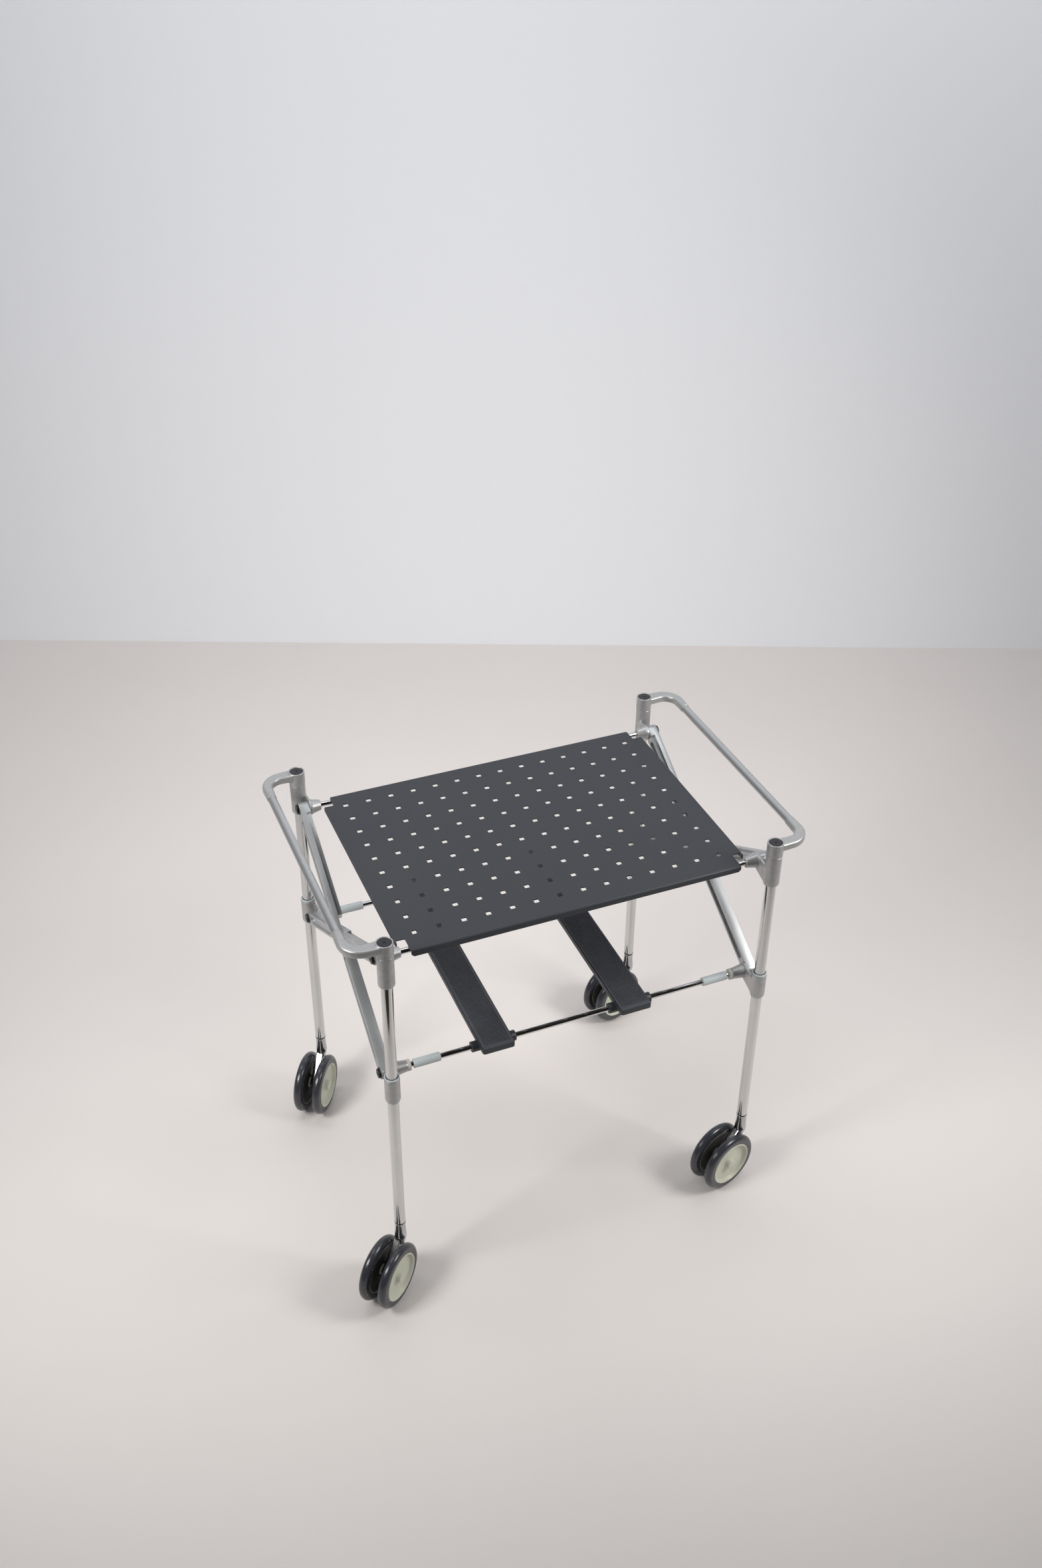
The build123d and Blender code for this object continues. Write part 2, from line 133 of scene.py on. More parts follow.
def noise(nt, scale, detail=3.0, stretch=(1, 1, 1)):
    coord = nt.nodes.new("ShaderNodeTexCoord")
    mapping = nt.nodes.new("ShaderNodeMapping")
    mapping.inputs["Scale"].default_value = stretch
    tex = nt.nodes.new("ShaderNodeTexNoise")
    tex.inputs["Scale"].default_value = scale
    tex.inputs["Detail"].default_value = detail
    nt.links.new(coord.outputs["Object"], mapping.inputs[0])
    nt.links.new(mapping.outputs[0], tex.inputs["Vector"])
    return tex.outputs["Fac"]


def span(nt, value, lo, hi, from_lo=0.3, from_hi=0.7):
    ramp = nt.nodes.new("ShaderNodeMapRange")
    ramp.inputs["From Min"].default_value = from_lo
    ramp.inputs["From Max"].default_value = from_hi
    ramp.inputs["To Min"].default_value = lo
    ramp.inputs["To Max"].default_value = hi
    nt.links.new(value, ramp.inputs["Value"])
    return ramp.outputs[0]


def combine(nt, operation, first, second, third=None):
    """A Math node. The second input may be a socket or a number."""
    node = nt.nodes.new("ShaderNodeMath")
    node.operation = operation
    nt.links.new(first, node.inputs[0])
    if isinstance(second, bpy.types.NodeSocket):
        nt.links.new(second, node.inputs[1])
    else:
        node.inputs[1].default_value = second
    if third is not None:
        nt.links.new(third, node.inputs[2])
    return node.outputs[0]


def mix_colour(nt, factor, a, b):
    """Blends two colours, each a socket or an RGB triple."""
    mix = nt.nodes.new("ShaderNodeMix")
    mix.data_type = "RGBA"
    nt.links.new(factor, mix.inputs["Factor"])
    for socket, value in ((mix.inputs[6], a), (mix.inputs[7], b)):
        if isinstance(value, bpy.types.NodeSocket):
            nt.links.new(value, socket)
        else:
            socket.default_value = (*value, 1)
    return mix.outputs[2]


def add_bump(nt, bsdf, layers):
    """layers: (height socket, strength, distance in metres), from large to fine."""
    normal = None
    for height, strength, distance in layers:
        bump = nt.nodes.new("ShaderNodeBump")
        bump.inputs["Strength"].default_value = strength
        bump.inputs["Distance"].default_value = distance
        nt.links.new(height, bump.inputs["Height"])
        if normal is not None:
            nt.links.new(normal, bump.inputs["Normal"])
        normal = bump.outputs[0]
    nt.links.new(normal, bsdf.inputs["Normal"])


def worn_and_lit_edge_mask(nt, radius):
    """0 on flats, rising to 1 on convex edges."""
    bevel = nt.nodes.new("ShaderNodeBevel")
    bevel.samples = 4
    bevel.inputs["Radius"].default_value = radius
    geo = nt.nodes.new("ShaderNodeNewGeometry")
    dot = nt.nodes.new("ShaderNodeVectorMath")
    dot.operation = "DOT_PRODUCT"
    nt.links.new(bevel.outputs[0], dot.inputs[0])
    nt.links.new(geo.outputs["Normal"], dot.inputs[1])
    return span(nt, dot.outputs["Value"], 1.0, 0.0, 0.8, 0.99)


# Lighter convex edges: partly worn paint, partly a painted highlight.
WORN_LIT_EDGE_RADIUS, WORN_LIT_EDGE_PATCH = 0.0007, 160
GRAIN_HEIGHT, WAVE_HEIGHT, WAVE_SCALE = 0.00012, 0.0006, 45


def finish_material(name, tint, tint_2, metallic, rough, rough_2, patch=9, grain=900, grain_bump=0.12,
                    stretch=(1, 1, 1), worn_and_lit_edges=None, coat=0.0, specular=0.5, wave=0.0):
    """A surface with two tints in soft patches, uneven gloss and a fine grain.

    The lighter edge colour is given as (colour, amount) on convex edges, partly worn paint and partly a
    painted highlight; wave the strength of a slow unevenness.
    """
    mat, nt, bsdf = new_material(name)
    patches = noise(nt, patch, 4)
    fine = noise(nt, grain, 2, stretch)
    colour = mix_colour(nt, span(nt, patches, 0, 1), tint, tint_2)
    # Convex edges lightened: partly worn paint, partly a painted highlight.
    if worn_and_lit_edges:
        broken = span(nt, noise(nt, WORN_LIT_EDGE_PATCH, 3), 0, worn_and_lit_edges[1])
        colour = mix_colour(nt, combine(nt, "MULTIPLY", worn_and_lit_edge_mask(nt, WORN_LIT_EDGE_RADIUS), broken), colour, worn_and_lit_edges[0])
    nt.links.new(colour, bsdf.inputs["Base Color"])
    bsdf.inputs["Metallic"].default_value = metallic
    bsdf.inputs["Specular IOR Level"].default_value = specular
    bsdf.inputs["Coat Weight"].default_value = coat
    bsdf.inputs["Coat Roughness"].default_value = 0.1
    mixed = combine(nt, "MULTIPLY_ADD", fine, 0.5, span(nt, patches, -0.25, 0.25))
    nt.links.new(span(nt, mixed, rough, rough_2, 0.0, 0.5), bsdf.inputs["Roughness"])
    layers = [(fine, grain_bump, GRAIN_HEIGHT)]
    if wave:
        layers.insert(0, (noise(nt, WAVE_SCALE, 2), wave, WAVE_HEIGHT))
    add_bump(nt, bsdf, layers)
    return mat


# ------------------------------------------------------------------ materials
METALS = {
    "chrome": finish_material("polished_chrome", (0.67, 0.67, 0.66), (0.61, 0.62, 0.62), 1.0, 0.05, 0.13,
                              patch=14, grain=1400, grain_bump=0.03),
    # Darker than the leg chrome: the caster bodies carry a painted dark reflection in their colour.
    "caster_chrome": finish_material("caster_chrome", (0.54, 0.54, 0.55), (0.46, 0.46, 0.47), 1.0, 0.09, 0.22,
                                     patch=30, grain=1200, grain_bump=0.05),
    "casting": finish_material("silver_casting_paint", (0.48, 0.48, 0.48), (0.42, 0.42, 0.42),
                               0.66, 0.34, 0.46, patch=160, grain=2600, grain_bump=0.2,
                               worn_and_lit_edges=((0.58, 0.58, 0.57), 0.6), wave=0.10),
    # The much lighter edge colour on the bars paints highlight lines along their edges.
    "bar": finish_material("bar_aluminium", (0.47, 0.48, 0.49), (0.41, 0.42, 0.43), 0.7, 0.30, 0.45,
                           patch=22, grain=1500, grain_bump=0.14, stretch=(1, 0.25, 0.25),
                           worn_and_lit_edges=((0.74, 0.75, 0.77), 0.7), wave=0.05),
    "grip": finish_material("anodised_grip", (0.57, 0.575, 0.58), (0.52, 0.525, 0.53), 0.9, 0.24, 0.36,
                            patch=12, grain=2200, grain_bump=0.07, stretch=(1, 0.03, 1)),
    "fastener": finish_material("black_oxide", (0.035, 0.034, 0.040), (0.06, 0.058, 0.062), 0.8, 0.26, 0.42,
                                patch=80, grain=1500, grain_bump=0.1, worn_and_lit_edges=((0.3, 0.3, 0.3), 0.8)),
}
PLASTICS = {
    # The lighter edge colour on the tray paints highlights on its edges and hole rims.
    "tray": finish_material("anthracite_powder_coat", (0.031, 0.034, 0.041), (0.037, 0.040, 0.047),
                            0.0, 0.50, 0.64, patch=7, grain=1800, grain_bump=0.35,
                            worn_and_lit_edges=((0.16, 0.16, 0.165), 0.8), specular=0.42),
    "slat": finish_material("slat_plastic", (0.030, 0.033, 0.039), (0.036, 0.039, 0.046), 0.0, 0.42, 0.58,
                            patch=25, grain=1600, grain_bump=0.22, worn_and_lit_edges=((0.10, 0.105, 0.115), 0.7)),
    # The lighter edge colour on the pads paints highlights on the waffle ridges.
    "pad": finish_material("ribbed_rubber", (0.058, 0.061, 0.073), (0.070, 0.073, 0.086), 0.0, 0.55, 0.72,
                           patch=40, grain=1500, grain_bump=0.3, worn_and_lit_edges=((0.085, 0.09, 0.1), 0.8)),
    "cream": finish_material("cream_plastic", (0.50, 0.49, 0.44), (0.45, 0.445, 0.40), 0.0, 0.38, 0.5,
                             patch=30, grain=1200, grain_bump=0.1),
    "sleeve": finish_material("grey_sleeve", (0.50, 0.54, 0.55), (0.46, 0.50, 0.51), 0.0, 0.40, 0.52,
                              patch=30, grain=1300, grain_bump=0.12),
    "cap": finish_material("cap_plastic", (0.014, 0.014, 0.019), (0.019, 0.019, 0.024), 0.0, 0.34, 0.48,
                           patch=60, grain=1700, grain_bump=0.2),
    "hub": finish_material("wheel_hub_plastic", (0.61, 0.625, 0.515), (0.565, 0.575, 0.475), 0.0, 0.34, 0.5,
                           patch=35, grain=900, grain_bump=0.1, coat=0.1),
    # Near-black inner face of each hub: painted shade on the shaded inner side of the wheel.
    "hub_inner_shade": finish_material("wheel_inner_painted_shade", (0.030, 0.029, 0.028), (0.045, 0.043, 0.04),
                                 0.0, 0.4, 0.6, patch=35, grain=900, grain_bump=0.15),
    "tyre": finish_material("grey_tyre", (0.033, 0.035, 0.043), (0.040, 0.042, 0.051), 0.0, 0.18, 0.32,
                            patch=26, grain=1100, grain_bump=0.1, coat=0.15, wave=0.12),
    # Near-black ring at each leg's foot: painted shade in the groove between leg and caster.
    "seam": finish_material("painted_groove_shade", (0.012, 0.012, 0.014), (0.02, 0.02, 0.022), 0.0, 0.4, 0.55,
                            patch=60, grain=1400, grain_bump=0.1),
}
MATS = METALS | PLASTICS
KEY_BY_START = (("leg_", "chrome"), ("rod_", "chrome"), ("collar_", "casting"), ("bolts", "fastener"),
                ("scissor_pins", "fastener"), ("scissor_", "bar"), ("tray", "tray"), ("slat_", "slat"),
                ("pad_", "pad"), ("bushes", "cream"), ("sleeves", "sleeve"))
KEY_BY_PART = (("elbow", "casting"), ("grip", "grip"), ("caps", "cap"), ("_hub_", "hub"),
               ("_tyre_", "tyre"), ("_body", "caster_chrome"))


def material_of(name):
    for start, key in KEY_BY_START:
        if name.startswith(start):
            return key
    for part, key in KEY_BY_PART:
        if part in name:
            return key
    raise KeyError(name)


def put_material(obj, key):
    obj.data.materials.clear()
    obj.data.materials.append(MATS[key])


for node_name, node in NODES.items():
    put_material(node, material_of(node_name))


# ------------------------------------------------------------------ mesh tools
def add_piece(name, mesh, key, body, replaced=(), smooth=40):
    """A finished piece in the shared frame, riding on a body and standing for the named CAD nodes."""
    obj = linked_object(name, mesh)
    for poly in mesh.polygons:
        poly.use_smooth = True
    mesh.set_sharp_from_angle(angle=math.radians(smooth))
    put_material(obj, key)
    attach(obj, body)
    if replaced:
        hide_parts(*replaced)
    return obj


def to_mesh(bm, name):
    bmesh.ops.recalc_face_normals(bm, faces=bm.faces)
    mesh = bpy.data.meshes.new(name)
    bm.to_mesh(mesh)
    bm.free()
    return mesh


def arc(cx, cr, radius, start, end, steps=4):
    """Points (axial, radial) along an arc; angles in degrees, 0 along +axial, 90 outwards."""
    out = []
    for i in range(steps + 1):
        t = math.radians(start + (end - start) * i / steps)
        out.append((cx + radius * math.cos(t), cr + radius * math.sin(t)))
    return out


def lathe(bm, profile, place, steps=72, closed=True, hexed=()):
    """Turns a profile of (axial, radial) mm points round local X. Points listed in hexed follow a hexagon."""
    rings = []
    for k in range(steps):
        t = 2 * math.pi * k / steps
        six = math.cos(math.pi / 6) / math.cos((t % (math.pi / 3)) - math.pi / 6)
        ring = []
        for i, (a, rad) in enumerate(profile):
            rad = rad * six if i in hexed else rad
            point = Vector((a * MM, rad * MM * math.cos(t), rad * MM * math.sin(t)))
            ring.append(bm.verts.new(place @ point))
        rings.append(ring)
    count = len(profile)
    for k in range(steps):
        here, there = rings[k], rings[(k + 1) % steps]
        for i in range(count if closed else count - 1):
            j = (i + 1) % count
            bm.faces.new((here[i], here[j], there[j], there[i]))
    if not closed:
        bm.faces.new([ring[0] for ring in rings])
        bm.faces.new([ring[-1] for ring in reversed(rings)])


def tube_profile(length, outer, inner, edge):
    """A sleeve that starts at 0, with rounded outer edges."""
    return (arc(edge, outer - edge, edge, 180, 90) + arc(length - edge, outer - edge, edge, 90, 0)
            + [(length, inner), (0.0, inner)])


def box_of(node):
    return tuple(Vector(v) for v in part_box(node))


def centre_of(node):
    lo, hi = box_of(node)
    return (lo + hi) / 2


def along_x(x, y, z, flip=False):
    turn = Matrix.Rotation(math.pi, 4, "Z") if flip else Matrix.Identity(4)
    return Matrix.Translation((x, y, z)) @ turn


def standing(x, y, z):
    """Turns a lathe's axis upwards at a place."""
    return Matrix.Translation((x, y, z)) @ Matrix.Rotation(-math.pi / 2, 4, "Y")


def add_weld(obj):
    weld = obj.modifiers.new("weld", "WELD")
    weld.merge_threshold = 1e-6


def add_bevel(obj, width, segments):
    bevel = obj.modifiers.new("edges", "BEVEL")
    bevel.width, bevel.segments = width, segments
    bevel.limit_method, bevel.angle_limit = "ANGLE", math.radians(40)
    return bevel


def evaluated_mesh(obj):
    graph = bpy.context.evaluated_depsgraph_get()
    return bpy.data.meshes.new_from_object(obj.evaluated_get(graph))


# ------------------------------------------------------------------ softened castings
def soft_casting(node, rounds, voxel=0.0005, key="casting"):
    """Rounds every edge and inner corner of a cast part the way a mould does."""
    mesh = NODES[node].data.copy()
    bm = bmesh.new()
    bm.from_mesh(mesh)
    bmesh.ops.remove_doubles(bm, verts=bm.verts, dist=1e-6)
    bm.to_mesh(mesh)
    bm.free()
    source = linked_object("casting_source", mesh)
    remesh = source.modifiers.new("remesh", "REMESH")
    remesh.mode, remesh.voxel_size = "VOXEL", voxel
    smooth = source.modifiers.new("smooth", "SMOOTH")
    smooth.factor, smooth.iterations = 0.5, rounds
    thin = source.modifiers.new("thin", "DECIMATE")
    thin.ratio = 0.4
    soft = evaluated_mesh(source)
    bpy.data.objects.remove(source)
    soft.name = node + "_cast"
    add_piece(node + "_cast", soft, key, BODY_OF[node], (node,), smooth=55)


for corner in CORNERS:
    soft_casting(f"collar_upper_{corner}", 14)
    soft_casting(f"collar_lower_{corner}", 14)
for side in SIDES:
    for end in END_CORNERS:
        soft_casting(f"handle_{side}_{end}_elbow", 6)
for corner in CORNERS:
    soft_casting(f"caster_{corner}_body", 60, 0.0006, "caster_chrome")


# ------------------------------------------------------------------ bolts and centre pins
def shoulder_head(bm, place, shank):
    """Washer and hexagon socket head, outwards along local X from the bar's face."""
    washer, head, socket = shank + WASHER_LIP, shank + HEAD_LIP, shank * SOCKET_SHARE
    lathe(bm, arc(0.3, washer - 0.3, 0.3, 180, 90, 2) + arc(WASHER_T - 0.3, washer - 0.3, 0.3, 90, 0, 3)
          + [(WASHER_T, shank), (0.0, shank)], place, 48)
    seat = WASHER_T + 0.02
    profile = ([(-6.0, CORE_R), (-6.0, shank - 0.1), (seat, shank - 0.1), (seat, head - 0.5),
                (1.3, head - 0.12)] + arc(HEAD_TOP - 0.7, head - 0.7, 0.7, 90, 0, 4)
               + [(HEAD_TOP, socket + 0.5), (3.5, socket), (1.9, socket), (1.7, CORE_R)])
    lathe(bm, profile, place, 48, closed=False, hexed=(len(profile) - 3, len(profile) - 2))


def head_pair(bm, lo, hi, y, z, shank):
    """The same head on the outer faces of the left and the right bar."""
    shoulder_head(bm, along_x(hi.x - HEAD_TOP * MM, y, z), shank)
    shoulder_head(bm, along_x(lo.x + HEAD_TOP * MM, y, z, True), shank)


def bolt_heads(pair, rising):
    """Heads at the two ends of one pair of bars; rising bars are low at the front."""
    lo, hi = box_of(pair)
    inset = (BAR_BOLT_R + WASHER_LIP) * MM
    front_z, rear_z = (lo.z + inset, hi.z - inset) if rising else (hi.z - inset, lo.z + inset)
    bm = bmesh.new()
    head_pair(bm, lo, hi, lo.y + inset, front_z, BAR_BOLT_R)
    head_pair(bm, lo, hi, hi.y - inset, rear_z, BAR_BOLT_R)
    add_piece(pair + "_heads", to_mesh(bm, pair), "fastener", BODY_OF[pair], (pair,))


def centre_pin_heads():
    lo, hi = box_of("scissor_pins")
    mid = (lo + hi) / 2
    bm = bmesh.new()
    head_pair(bm, lo, hi, mid.y, mid.z, CENTRE_PIN_R)
    add_piece("scissor_pin_heads", to_mesh(bm, "pins"), "fastener", BODY_OF["scissor_pins"], ("scissor_pins",))


bolt_heads("bolts_a", rising=True)
bolt_heads("bolts_b", rising=False)
centre_pin_heads()


# ------------------------------------------------------------------ caps, bushes, rings, sleeves, leg seams
def handle_caps(side):
    """Two domed caps with a small dimple in the middle."""
    node = f"handle_{side}_caps"
    lo, hi = box_of(node)
    top = (hi.z - lo.z) / MM
    profile = ([(0.0, CORE_R), (0.0, CAP_R)] + arc(top - 0.7, CAP_R - 0.6, 0.6, 90, 0, 4)
               + [(top - 0.05, 6.0), (top, 3.0), (top - 0.1, 2.1), (top - 0.5, 1.5), (top - 1.3, 1.3),
                  (top - 1.3, CORE_R)])
    bm = bmesh.new()
    for y in (lo.y + CAP_SEAT_R * MM, hi.y - CAP_SEAT_R * MM):
        lathe(bm, profile, standing((lo.x + hi.x) / 2, y, lo.z), 56, closed=False)
    add_piece(node + "_turned", to_mesh(bm, node), "cap", BODY_OF[node], (node,))


def leg_bushes(end):
    """The lining of each lower collar, with a small collar of its own on top."""
    node = "bushes_" + end
    lo, hi = box_of(node)
    tall = (hi.z - lo.z) / MM
    profile = (arc(0.6, 8.8, 0.6, 180, 90, 3) + [(2.5, 9.4), (tall - 3.0, 9.4), (tall - 3.0, 10.0)]
               + arc(tall - 0.7, 9.8, 0.7, 90, 0, 4)
               + [(tall, 9.2), (tall - 1.6, 8.7), (tall - 1.9, LEG_BORE_R), (0.0, LEG_BORE_R)])
    bm = bmesh.new()
    for corner in END_CORNERS[end]:
        leg = centre_of("leg_" + corner)
        lathe(bm, profile, standing(leg.x, leg.y, lo.z), 64)
    add_piece(node + "_liners", to_mesh(bm, node), "sleeve", BODY_OF[node], (node,))


def on_lower_rod(name, end, start, profile):
    """A mesh of the same turned part at both ends of a lower rod, from start mm outwards."""
    rod = centre_of("rod_lower_" + end)
    bm = bmesh.new()
    for direction in (-1, 1):
        lathe(bm, profile, along_x(rod.x + direction * start * MM, rod.y, rod.z, direction < 0), 56)
    return to_mesh(bm, name)


def rod_fittings(end):
    bushes, sleeves = "bushes_" + end, "sleeves_" + end
    rings = on_lower_rod(bushes, end, RING_START, tube_profile(RING_LONG, RING_R, ROD_BORE_R, 0.7))
    add_piece(bushes + "_rings", rings, "cream", BODY_OF[bushes])
    tubes = on_lower_rod(sleeves, end, SLEEVE_START, tube_profile(SLEEVE_LONG, SLEEVE_R, ROD_BORE_R, 0.8))
    add_piece(sleeves + "_turned", tubes, "sleeve", BODY_OF[sleeves], (sleeves,))


def leg_seam(corner):
    """The dark ring between a leg tube and its caster: painted shade of the groove there."""
    node = "leg_" + corner
    lo, _ = box_of(node)
    centre = centre_of(node)
    bm = bmesh.new()
    lathe(bm, tube_profile(SEAM_HIGH, SEAM_R, SEAM_INNER_R, 0.3), standing(centre.x, centre.y, lo.z), 64)
    add_piece("leg_seam_" + corner, to_mesh(bm, "seam"), "seam", BODY_OF[node])


for side in SIDES:
    handle_caps(side)
for end in END_CORNERS:
    leg_bushes(end)
    rod_fittings(end)
for corner in CORNERS:
    leg_seam(corner)

# ------------------------------------------------------------------ wheels
# (axial, radial) in mm from the tyre's centre; positive is the outer face
TYRE = ([(-6.6, 36.6), (-7.0, 38.0), (-6.75, 39.6), (-7.0, 41.2)] + arc(0, 42.0, 7.0, 178, 98, 12)
        + [(-0.6, 48.85), (0.6, 48.85)] + arc(0, 42.0, 7.0, 82, 2, 12)
        + [(7.0, 41.2), (6.75, 39.6), (7.0, 38.0), (6.6, 36.6)])
HUB_BOSS = [(9.0, CORE_R), (9.0, 6.6), (8.7, 7.5), (8.1, 8.0), (3.0, 8.3), (2.1, 8.8), (1.7, 10.2)]
HUB_DISC = [(1.4, 12.4), (1.3, 22.0), (1.5, 30.6), (2.0, 31.9), (3.2, 32.7), (6.4, 33.5)]
HUB_RIM = (arc(6.5, 35.1, 1.2, -60, 90, 6)
           + [(5.0, 36.7), (-5.4, 36.7), (-6.2, 36.3), (-6.2, 35.5), (-5.4, 35.1)])
HUB_INSIDE = [(-2.0, 34.6), (-2.0, 9.5), (-8.0, 8.0), (-8.0, 3.7), (6.0, 3.7), (6.0, CORE_R)]
DISC_STEP = [(-3.0, 10.0), (-6.2, 10.2), (-6.6, 10.9), (-6.3, 12.0), (-5.0, 14.0), (-4.7, 24.0), (-5.1, 31.0)]
INNER_DISC = DISC_STEP + arc(-5.2, 33.6, 1.1, 240, 120, 4) + [(-4.6, 34.9), (-3.0, 34.9)]


def wheel(corner, number):
    name = f"wheel_{corner}_{number}_"
    hub_node, tyre_node = f"caster_{corner}_hub_{number}", f"caster_{corner}_tyre_{number}"
    centre = centre_of(tyre_node)
    outward = centre - centre_of(f"caster_{corner}_tyre_{3 - number}")
    place = Matrix.Translation(centre) @ Matrix.Rotation(math.atan2(outward.y, outward.x), 4, "Z")
    for label, profile, key, replaced, closed in (
            ("tyre", TYRE, "tyre", (tyre_node,), True),
            ("hub", HUB_BOSS + HUB_DISC + HUB_RIM + HUB_INSIDE, "hub", (hub_node,), False),
            # The inner disc is near black: painted shade on the hub's inner side.
            ("disc", INNER_DISC, "hub_inner_shade", (), True)):
        bm = bmesh.new()
        lathe(bm, profile, place, 96, closed)
        add_piece(name + label, to_mesh(bm, label), key, BODY_OF[tyre_node], replaced)


for corner in CORNERS:
    for number in (1, 2):
        wheel(corner, number)


# ------------------------------------------------------------------ waffle pads
def pad_lines(lo, hi, margin):
    """Grid lines across a pad: its edge, whole cells in the middle, its other edge."""
    count = int((hi - lo - 2 * margin) / CELL)
    start = (lo + hi - count * CELL) / 2
    return [lo + PAD_EDGE] + [start + i * CELL for i in range(count + 1)] + [hi - PAD_EDGE]


def spread(value, lo, hi, step):
    """Moves a coordinate away from the middle when it lies on the outline."""
    reach = 0.001
    if lo + reach < value < hi - reach:
        return value
    return value + math.copysign(step, value - (lo + hi) / 2)


def waffle_pad(side):
    node = "pad_" + side
    lo, hi = box_of(node)
    xs = pad_lines(lo.x, hi.x, PAD_MARGIN_X)
    ys = pad_lines(lo.y, hi.y, PAD_MARGIN_Y)
    bm = bmesh.new()
    grid = [[bm.verts.new((x, y, hi.z)) for y in ys] for x in xs]
    cells = []
    for i in range(len(xs) - 1):
        for j in range(len(ys) - 1):
            face = bm.faces.new((grid[i][j], grid[i + 1][j], grid[i + 1][j + 1], grid[i][j + 1]))
            if 0 < i < len(xs) - 2 and 0 < j < len(ys) - 2:
                cells.append(face)
    rim = [e for e in bm.edges if e.is_boundary]
    for down, step in PAD_SKIRT:
        made = bmesh.ops.extrude_edge_only(bm, edges=rim)["geom"]
        for v in (g for g in made if isinstance(g, bmesh.types.BMVert)):
            v.co = (spread(v.co.x, lo.x, hi.x, step), spread(v.co.y, lo.y, hi.y, step), v.co.z - down)
        rim = [g for g in made if isinstance(g, bmesh.types.BMEdge) and g.is_boundary]
    bmesh.ops.inset_individual(bm, faces=cells, thickness=GROOVE, depth=0.0)
    bmesh.ops.inset_individual(bm, faces=cells, thickness=POCKET_WALL, depth=-POCKET)
    add_piece(node + "_waffle", to_mesh(bm, node), "pad", BODY_OF[node], (node,), smooth=30)


for side in SIDES:
    waffle_pad(side)


# ------------------------------------------------------------------ scissor bars
def stadium(bm, centre, along, half, radius, x0, x1):
    """A prism with round ends, half long each way from its centre, between two X positions."""
    across = Vector((0, -along.z, along.y))
    outline = []
    for sign in (1, -1):
        for i in range(13):
            t = math.radians(-90 + 15 * i)
            reach = half + radius * math.cos(t)
            outline.append(centre + along * sign * reach + across * sign * radius * math.sin(t))
    near, far = ([bm.verts.new((x, p.y, p.z)) for p in outline] for x in (x0, x1))
    bm.faces.new(near)
    bm.faces.new(list(reversed(far)))
    for i in range(len(outline)):
        j = (i + 1) % len(outline)
        bm.faces.new((near[i], far[i], far[j], near[j]))


def scissor_bar(node, slope, inward):
    """A bar with a channel on each side of its centre pin, cut into the face towards the tray."""
    lo, hi = box_of(node)
    mid = (lo + hi) / 2
    rise = hi.z - lo.z - 2 * BAR_END_R
    run = slope * (hi.y - lo.y - 2 * BAR_END_R)
    along = Vector((0, run, rise)).normalized()
    length = math.hypot(run, rise)
    face = hi.x if inward > 0 else lo.x
    floor_x, above_x = face - inward * CHANNEL_DEEP, face + inward * 0.002
    bm = bmesh.new()
    for end in (-1, 1):
        middle = mid + along * end * (length / 4 + CHANNEL_SHIFT)
        stadium(bm, middle, along, length / 4 - CHANNEL_STOP, CHANNEL_R, floor_x, above_x)
    cutter = linked_object("channel", to_mesh(bm, "channel"))
    bar = linked_object("bar_source", NODES[node].data.copy())
    add_weld(bar)
    cut = bar.modifiers.new("cut", "BOOLEAN")
    cut.operation, cut.solver, cut.object = "DIFFERENCE", "EXACT", cutter
    add_bevel(bar, BAR_EDGE, 2)
    shaped = evaluated_mesh(bar)
    bpy.data.objects.remove(bar)
    bpy.data.objects.remove(cutter)
    add_piece(node + "_section", shaped, "bar", BODY_OF[node], (node,), smooth=35)


for letter, slope in (("a", 1), ("b", -1)):
    for side, inward in (("left", 1), ("right", -1)):
        scissor_bar(f"scissor_{letter}_{side}", slope, inward)


# ------------------------------------------------------------------ rounded edges on the tray and slats
def round_edges(node, width, segments):
    add_weld(NODES[node])
    bevel = add_bevel(NODES[node], width, segments)
    bevel.harden_normals = True


for side in SIDES:
    round_edges("slat_" + side, SLAT_EDGE, 3)
round_edges("tray", TRAY_EDGE, 2)


# ------------------------------------------------------------------ stage
def stage_object(name, mesh, mat):
    obj = linked_object(name, mesh)
    mesh.materials.append(mat)
    return obj


def stage_plane(name, size, place, turn, mat):
    sx, sy = size[0] / 2, size[1] / 2
    mesh = bpy.data.meshes.new(name)
    mesh.from_pydata([(-sx, -sy, 0), (sx, -sy, 0), (sx, sy, 0), (-sx, sy, 0)], [], [(0, 1, 2, 3)])
    obj = stage_object(name, mesh, mat)
    obj.matrix_world = Matrix.Translation(place) @ turn.to_4x4()
    return obj


def plain_material(name, colour, rough):
    mat, _, bsdf = new_material(name)
    bsdf.inputs["Base Color"].default_value = (*colour, 1)
    bsdf.inputs["Roughness"].default_value = rough
    return mat


def floor_material():
    mat, nt, bsdf = new_material("floor")
    patches = span(nt, noise(nt, 1.3, 3), 0, 1)
    nt.links.new(mix_colour(nt, patches, (0.71, 0.665, 0.64), (0.74, 0.695, 0.67)), bsdf.inputs["Base Color"])
    bsdf.inputs["Roughness"].default_value = 0.55
    return mat


def facing(direction):
    """A turn about Z that points local Y along a level direction."""
    return Matrix.Rotation(math.atan2(direction.y, direction.x) - math.pi / 2, 3, "Z")


def only_in_reflections(obj):
    """Left to be seen in glossy reflections only."""
    obj.visible_camera = obj.visible_diffuse = obj.visible_shadow = False
    obj.visible_transmission = obj.visible_volume_scatter = False


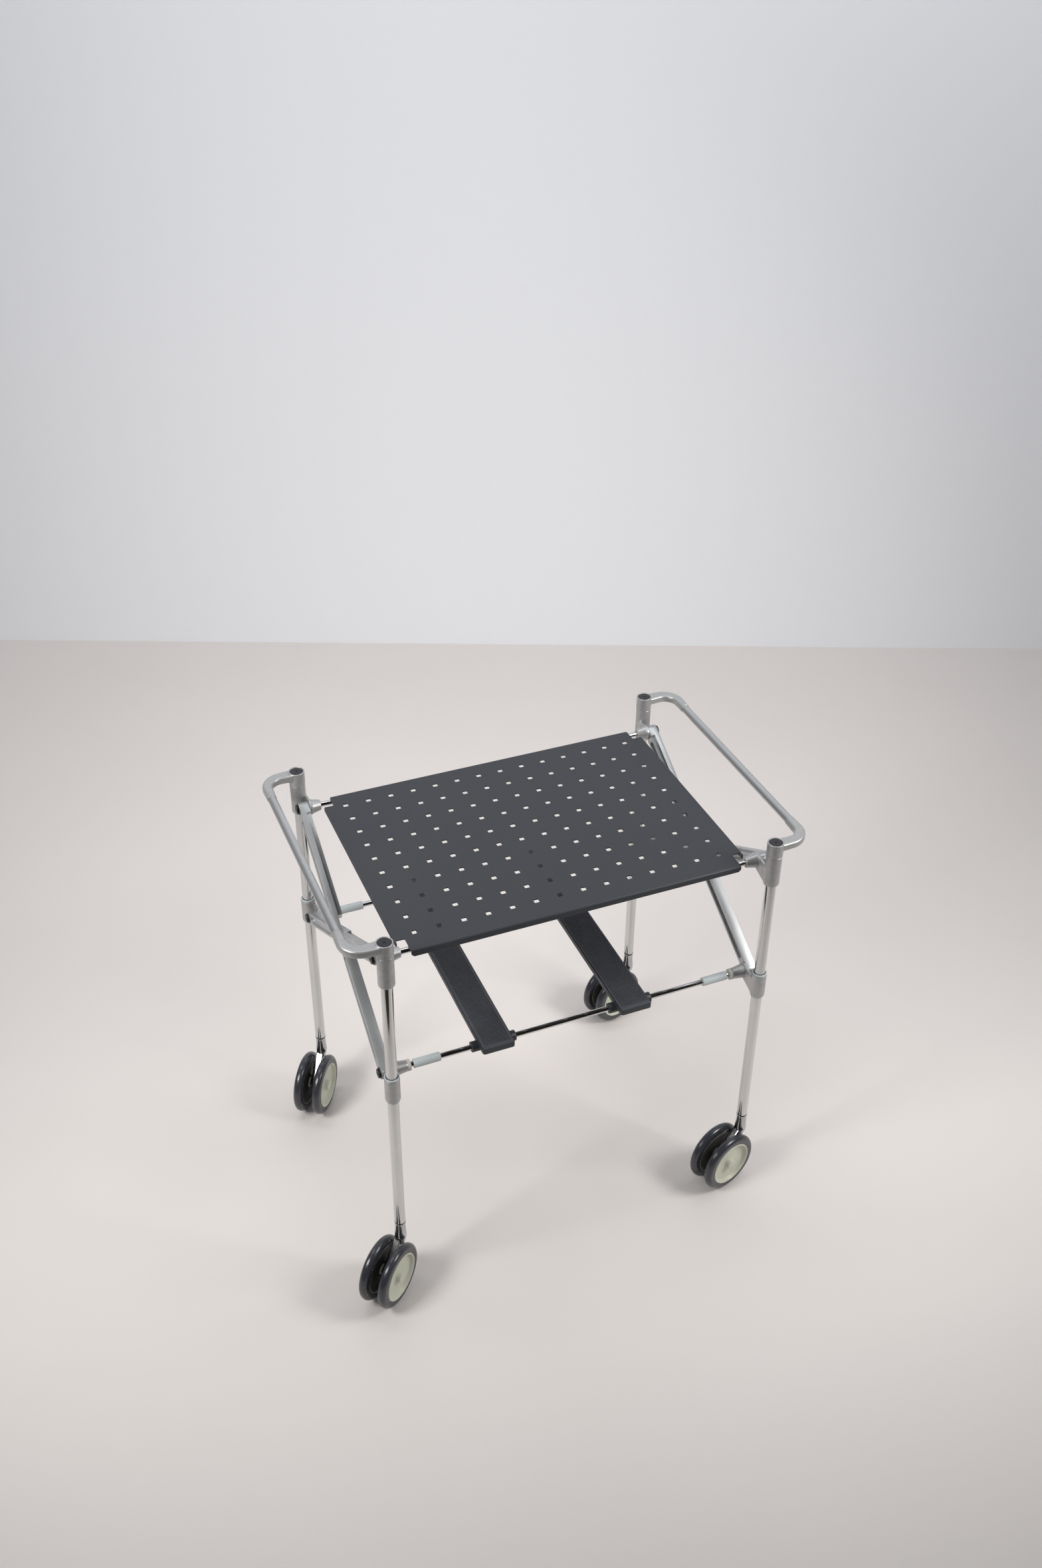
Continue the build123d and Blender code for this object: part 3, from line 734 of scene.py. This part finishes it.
def dark_room(mat, steps=24, rows=12):
    """The unlit side of the studio, behind the camera, as polished metal sees it."""
    heading = math.atan2(-VIEW_FLAT.y, -VIEW_FLAT.x)
    points, faces = [], []
    for j in range(rows + 1):
        el = math.radians(ROOM_LOW + (ROOM_HIGH - ROOM_LOW) * j / rows)
        for i in range(steps + 1):
            az = heading + math.radians(ROOM_HALF_ANGLE * (2 * i / steps - 1))
            level = ROOM_RADIUS * math.cos(el)
            points.append((level * math.cos(az), level * math.sin(az), ROOM_RADIUS * math.sin(el)))
    for j in range(rows):
        for i in range(steps):
            k = j * (steps + 1) + i
            faces.append((k, k + 1, k + steps + 2, k + steps + 1))
    mesh = bpy.data.meshes.new("dark_room")
    mesh.from_pydata(points, [], faces)
    only_in_reflections(stage_object("dark_room", mesh, mat))


wall_at = CAM_PLACE + VIEW_FLAT * WALL_DISTANCE
stage_plane("floor", FLOOR_SIZE, Vector((0, 0, 0)), Matrix.Identity(3), floor_material())
upright = facing(VIEW_FLAT) @ Matrix.Rotation(math.pi / 2, 3, "X")
stage_plane("backdrop", WALL_SIZE, Vector((wall_at.x, wall_at.y, WALL_SIZE[1] / 2)), upright,
            plain_material("backdrop", (0.86, 0.87, 0.90), 0.9))

# Dark brown material for the sheets seen only in glossy reflections: painted dark reflections on the metal.
dark_card = plain_material("dark_card", (0.035, 0.026, 0.021), 1.0)
# A dark card on the floor in front of the trolley, seen only in reflections: a painted dark reflection in the
# chrome legs.
card_at = CARD_FROM - VIEW_FLAT * (CARD_GAP + CARD_SIZE[1] / 2)
only_in_reflections(stage_plane("floor_card", CARD_SIZE, card_at, facing(-VIEW_FLAT), dark_card))
dark_room(dark_card)


# ------------------------------------------------------------------ light
def area_light(name, place, target, size, power, colour, spread_angle=180):
    data = bpy.data.lights.new(name, "AREA")
    data.shape = "RECTANGLE"
    data.size, data.size_y = size
    data.energy = power
    data.spread = math.radians(spread_angle)
    data.color = colour
    lamp = linked_object(name, data)
    lamp.location = place
    lamp.rotation_mode = "QUATERNION"
    lamp.rotation_quaternion = (Vector(target) - Vector(place)).to_track_quat("-Z", "Y")


world = bpy.data.worlds.new("studio")
bpy.context.scene.world = world
world.use_nodes = True
background = world.node_tree.nodes["Background"]
background.inputs[0].default_value = (0.93, 0.96, 1.0, 1)
background.inputs[1].default_value = WORLD_STRENGTH

area_light("key_right", (1.16, -0.80, 1.36), (0.0, 0.50, 0.15), (0.6, 0.6), 6.2, (1.0, 0.985, 0.96), 100)
area_light("key_left", (-1.42, -0.30, 1.50), (0.05, 0.50, 0.15), (0.55, 0.55), 7.3, (1.0, 0.985, 0.965), 100)
wash_from = wall_at - WASH_GAP * VIEW_FLAT
area_light("wall_wash", (wash_from.x, wash_from.y, WASH_HIGH), (wall_at.x, wall_at.y, 0.9),
           (3.4, 0.6), 27, (0.97, 0.985, 1.0))

bpy.context.scene.view_settings.view_transform = "Standard"
